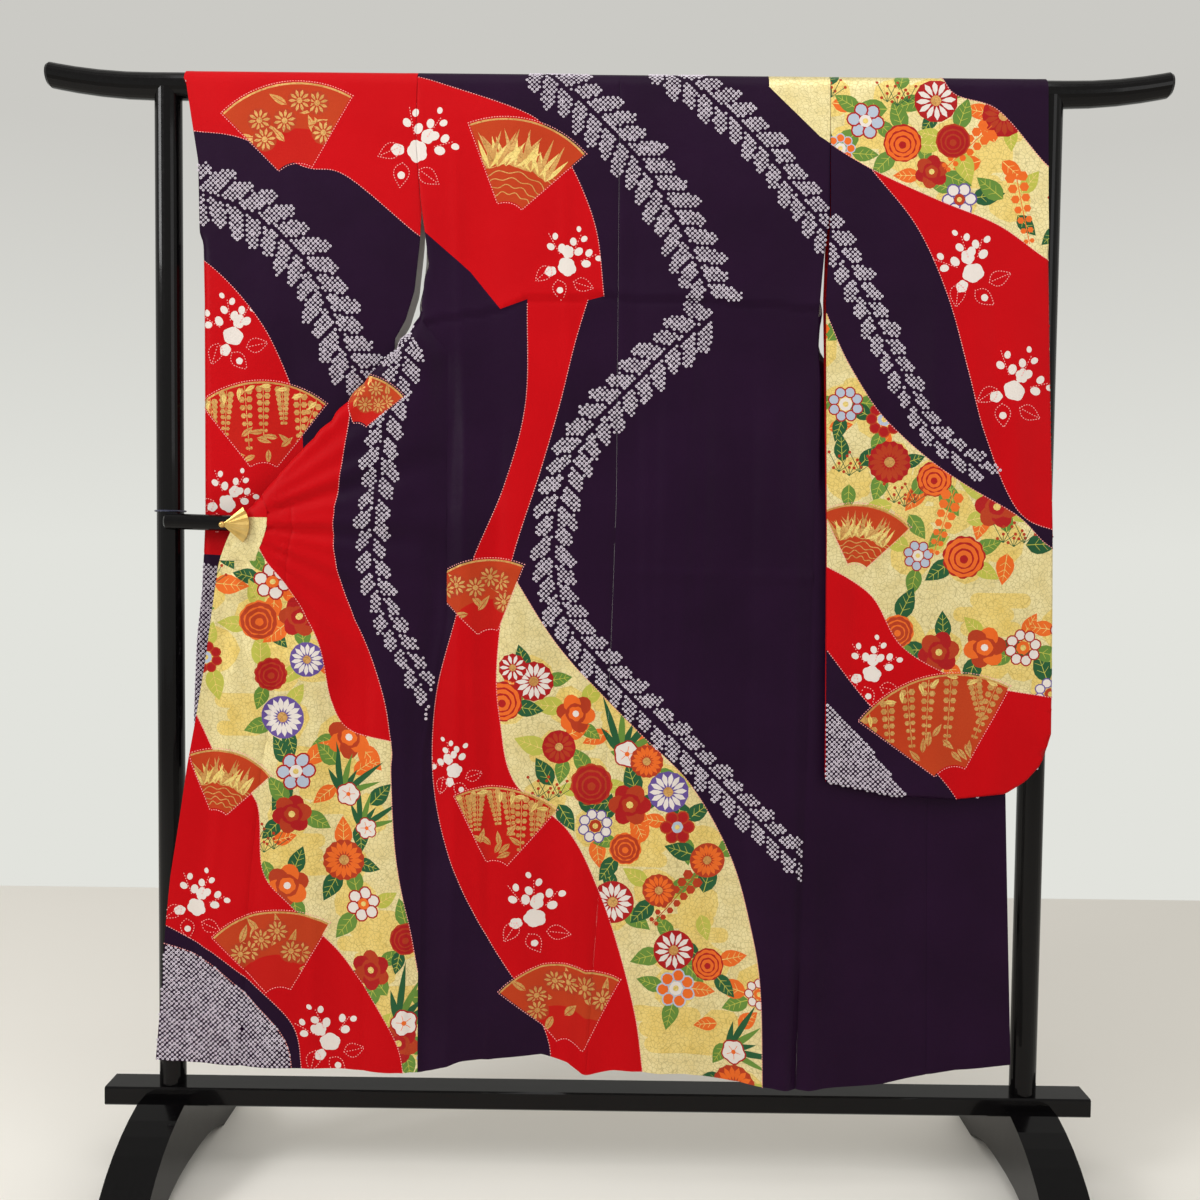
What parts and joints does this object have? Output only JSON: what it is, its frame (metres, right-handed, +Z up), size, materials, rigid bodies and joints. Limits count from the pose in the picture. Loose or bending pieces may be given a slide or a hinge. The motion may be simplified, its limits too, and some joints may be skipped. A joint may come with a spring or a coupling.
{
  "type": "furisode kimono on display stand",
  "caption": "Long-sleeved silk kimono hung over a black lacquer display stand, back outwards, one front clipped out to the side.",
  "frame": {"origin": "on the floor midway between the two posts, under the top bar", "axes": "+Z up; -Y is the side on which the garment's back shows; +X along the top bar towards the wearer's right"},
  "size_m": [1.77, 0.48, 1.7805],
  "materials": {
    "silk": "crepe silk with a soft sheen, aubergine, red and pale gold",
    "lacquer": "black gloss lacquer",
    "gilt": "bright gilt",
    "cord": "matt dark navy braid"
  },
  "bodies": {
    "root": {"body_left": "silk", "okumi_left": "silk", "sleeve_left": "silk", "body_right": "silk", "okumi_right": "silk", "sleeve_right": "silk", "collar": "silk", "post_left": "lacquer", "foot_left": "lacquer", "tie_left": "cord", "post_right": "lacquer", "foot_right": "lacquer", "tie_right": "cord", "top_bar": "lacquer", "plank": "lacquer", "crossbar": "lacquer", "fan_clip": "gilt"}
  },
  "joints": []
}
